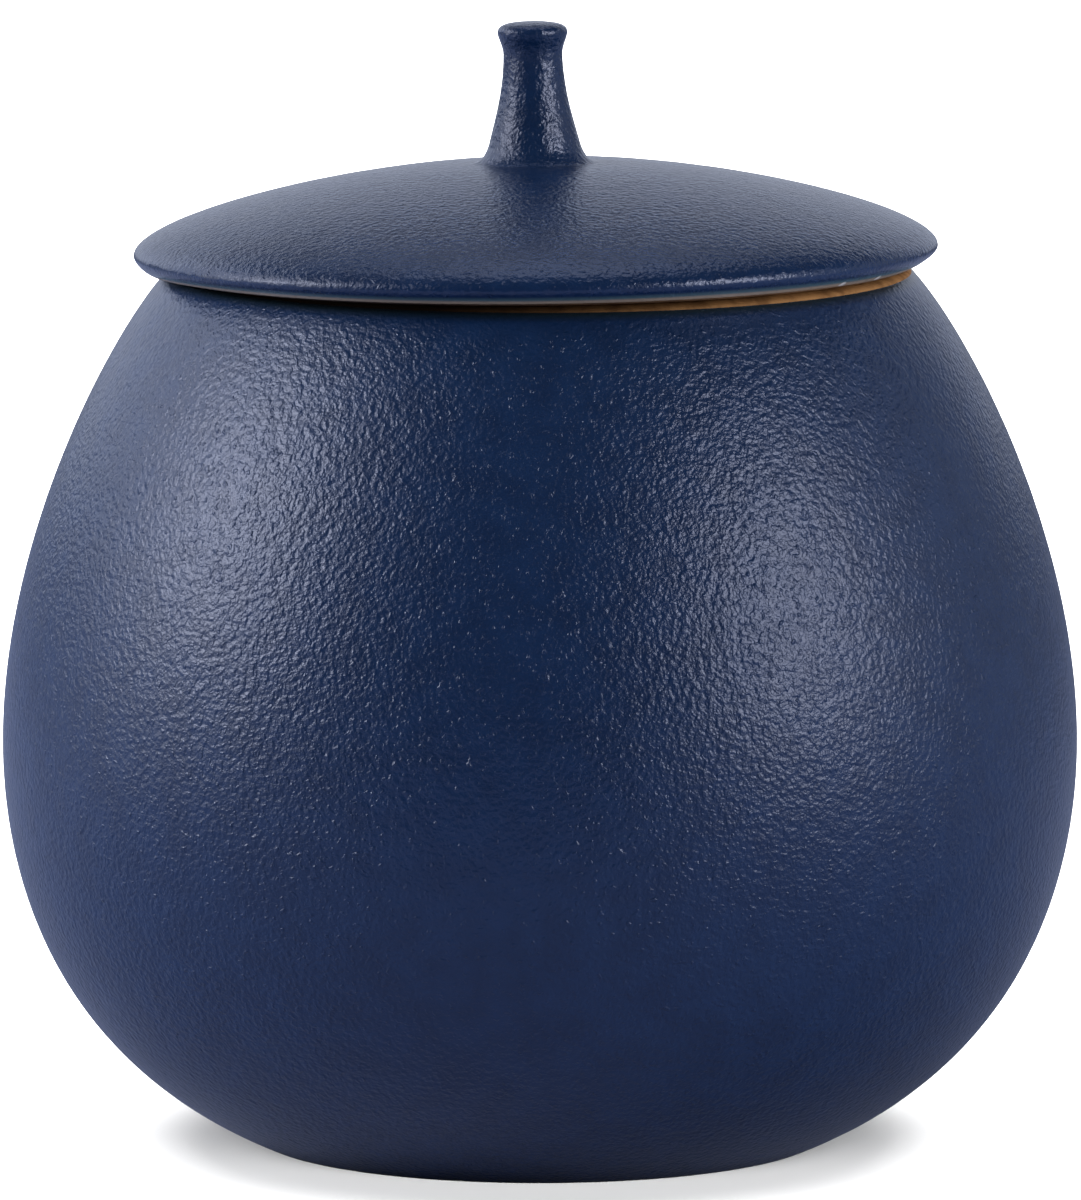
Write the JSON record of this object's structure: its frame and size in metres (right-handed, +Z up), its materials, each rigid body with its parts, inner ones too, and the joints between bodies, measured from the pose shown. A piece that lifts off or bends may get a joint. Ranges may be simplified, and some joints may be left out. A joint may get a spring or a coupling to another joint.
{
  "type": "funeral urn",
  "caption": "Round-bellied stoneware urn in a satin navy glaze, hollow, with a low domed lid that has a slim waisted knob and lies slightly askew on a bare clay rim.",
  "frame": {"origin": "on the jar's axis, in the plane that its foot ring stands on", "axes": "+Z up along the jar's axis, -Y towards the viewer of the picture, +X to that viewer's right"},
  "size_m": [0.2, 0.2, 0.2085],
  "materials": {
    "jar_glaze": "satin",
    "lid_glaze": "satin"
  },
  "bodies": {
    "root": {"jar": "jar_glaze", "lid": "lid_glaze"}
  },
  "joints": []
}
